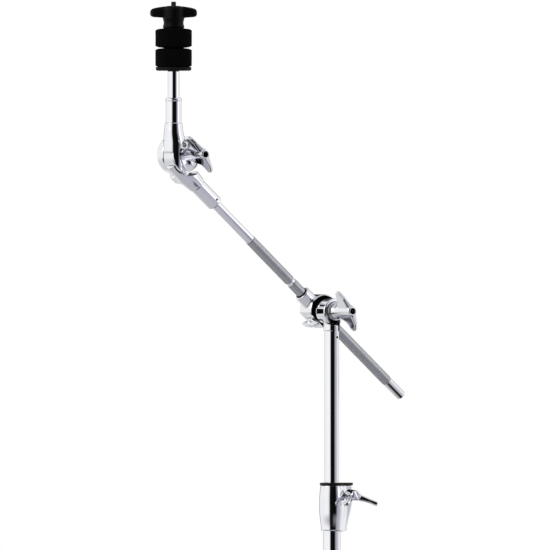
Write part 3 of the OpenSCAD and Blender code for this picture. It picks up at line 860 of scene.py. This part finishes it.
def floor():
    bm = bmesh.new()
    bmesh.ops.create_grid(bm, x_segments=8, y_segments=8, size=45)
    mesh = bpy.data.meshes.new("floor")
    bm.to_mesh(mesh)
    bm.free()
    o = bpy.data.objects.new("floor", mesh)
    bpy.context.scene.collection.objects.link(o)
    m, t, p = new_material("pale_floor")
    t.links.new(ramp(t, noise(t, 3, 3), [(0.3, (0.86, 0.86, 0.865)), (0.7, (0.89, 0.89, 0.89))]), p.inputs["Base Color"])
    p.inputs["Roughness"].default_value = 0.8
    p.inputs["Specular IOR Level"].default_value = 0.1
    far = t.nodes.new("ShaderNodeVectorMath")
    far.operation = "LENGTH"
    t.links.new(t.nodes.new("ShaderNodeNewGeometry").outputs["Position"], far.inputs[0])
    fade = add(t, "ShaderNodeMapRange", interpolation_type="SMOOTHSTEP")
    fade.inputs["From Min"].default_value, fade.inputs["From Max"].default_value = 0.35, 1.6
    t.links.new(far.outputs["Value"], fade.inputs["Value"])
    glow = add(t, "ShaderNodeEmission", Strength=1.0)
    mix = t.nodes.new("ShaderNodeMixShader")
    t.links.new(fade.outputs["Result"], mix.inputs["Fac"])
    t.links.new(p.outputs[0], mix.inputs[1])
    t.links.new(glow.outputs[0], mix.inputs[2])
    t.links.new(mix.outputs[0], t.nodes["Material Output"].inputs["Surface"])
    mesh.materials.append(m)
    o.location = (0, 0, -0.0003)
    o.visible_glossy = False


floor()


def studio():
    """White cyclorama all round, with the dark room behind the camera that chrome shows as a stripe."""
    w = bpy.data.worlds.new("studio")
    bpy.context.scene.world = w
    w.use_nodes = True
    t = w.node_tree
    t.nodes.clear()
    L = t.links.new
    co = t.nodes.new("ShaderNodeTexCoord")

    def dot(v):
        n = t.nodes.new("ShaderNodeVectorMath")
        n.operation = "DOT_PRODUCT"
        n.inputs[1].default_value = v
        L(co.outputs["Generated"], n.inputs[0])
        return n.outputs["Value"]

    ang = add(t, "ShaderNodeMath", operation="ARCTAN2")
    L(dot(RIGHT), ang.inputs[0])
    L(dot(TOWARD), ang.inputs[1])
    turn = add(t, "ShaderNodeMapRange")
    turn.inputs["From Min"].default_value, turn.inputs["From Max"].default_value = -math.pi, math.pi
    L(ang.outputs[0], turn.inputs["Value"])

    def at(deg):
        return (deg + 180) / 360

    g = lambda v, b=0.0: (v * (1 - b * 0.3), v * (1 - b * 0.3), v * (1 + b))
    room = ramp(t, turn.outputs["Result"], [(0.0, g(0.05)), (at(-160), g(0.07)), (at(-142), g(0.92)), (at(-40), g(1.0)), (at(-24), g(0.75)), (at(-17), g(0.006)), (at(36), g(0.002)),
                                            (at(45), g(0.10, 0.25)), (at(52), g(0.36, 0.12)), (at(82), g(0.55, 0.08)), (at(112), g(0.95)), (at(142), g(0.92)), (at(160), g(0.07)), (1.0, g(0.05))])
    up = add(t, "ShaderNodeMapRange", interpolation_type="SMOOTHSTEP")
    up.inputs["From Min"].default_value, up.inputs["From Max"].default_value = 0.62, 0.80
    L(dot(Vector((0, 0, 1))), up.inputs["Value"])
    mix = add(t, "ShaderNodeMix", data_type="RGBA")
    L(up.outputs["Result"], mix.inputs[0])
    L(room, mix.inputs[6])
    mix.inputs[7].default_value = (0.60, 0.605, 0.65, 1)
    down = add(t, "ShaderNodeMapRange", interpolation_type="SMOOTHSTEP")
    down.inputs["From Min"].default_value, down.inputs["From Max"].default_value = -0.12, -0.42
    L(dot(Vector((0, 0, 1))), down.inputs["Value"])
    below = ramp(t, turn.outputs["Result"], [(0.0, g(0.80)), (at(-115), g(0.70)), (at(-75), g(0.12)), (at(-55), g(0.010)), (at(6), g(0.012)),
                                             (at(27), g(0.42, 0.1)), (at(65), g(0.55, 0.1)), (at(105), g(0.70)), (1.0, g(0.80))])
    low = add(t, "ShaderNodeMix", data_type="RGBA")
    L(down.outputs["Result"], low.inputs[0])
    L(mix.outputs[2], low.inputs[6])
    L(below, low.inputs[7])
    deep = add(t, "ShaderNodeMapRange", interpolation_type="SMOOTHSTEP")
    deep.inputs["From Min"].default_value, deep.inputs["From Max"].default_value = -0.50, -0.70
    L(dot(Vector((0, 0, 1))), deep.inputs["Value"])
    base = add(t, "ShaderNodeMix", data_type="RGBA")
    L(deep.outputs["Result"], base.inputs[0])
    L(low.outputs[2], base.inputs[6])
    L(ramp(t, turn.outputs["Result"], [(0.0, g(0.5)), (at(38), g(0.5, 0.1)), (at(56), g(0.03)), (at(138), g(0.03)), (at(158), g(0.4)), (1.0, g(0.5))]),
      base.inputs[7])
    path = t.nodes.new("ShaderNodeLightPath")
    white = t.nodes.new("ShaderNodeBackground")
    white.inputs["Color"].default_value = (1, 1, 1, 1)
    env = add(t, "ShaderNodeBackground", Strength=1.12)
    L(base.outputs[2], env.inputs["Color"])
    pick = t.nodes.new("ShaderNodeMixShader")
    L(path.outputs["Is Camera Ray"], pick.inputs["Fac"])
    L(env.outputs[0], pick.inputs[1])
    L(white.outputs[0], pick.inputs[2])
    out = t.nodes.new("ShaderNodeOutputWorld")
    L(pick.outputs[0], out.inputs["Surface"])


studio()


def area(name, offset, size, power, target):
    d = bpy.data.lights.new(name, "AREA")
    d.shape, d.size, d.size_y, d.energy = "RECTANGLE", size[0], size[1], power
    o = bpy.data.objects.new(name, d)
    bpy.context.scene.collection.objects.link(o)
    o.location = target + offset
    o.rotation_mode = "QUATERNION"
    o.rotation_quaternion = (-offset).to_track_quat("-Z", "Y")
    return o


AIM = Vector((-51.2, 35.8, 835.5)) * MM
area("key", TOWARD * 1.4 - RIGHT * 2.4 + Vector((0, 0, 1.6)), (1.6, 1.6), 14, AIM)
area("fill", TOWARD * 0.6 + RIGHT * 2.6 + Vector((0, 0, 0.9)), (1.4, 2.0), 7, AIM)

cam_data = bpy.data.cameras.new("camera")
cam = bpy.data.objects.new("camera", cam_data)
bpy.context.scene.collection.objects.link(cam)
DISTANCE, WIDTH = 24.0, 0.605
cam_data.sensor_width = 36
cam_data.lens = 36 * DISTANCE / WIDTH
cam_data.clip_end = 100
cam.location = AIM + TOWARD * DISTANCE
cam.rotation_mode = "QUATERNION"
cam.rotation_quaternion = (-TOWARD).to_track_quat("-Z", "Y")
bpy.context.scene.camera = cam
bpy.context.scene.view_settings.view_transform = "Standard"
bpy.context.scene.view_settings.look = "None"
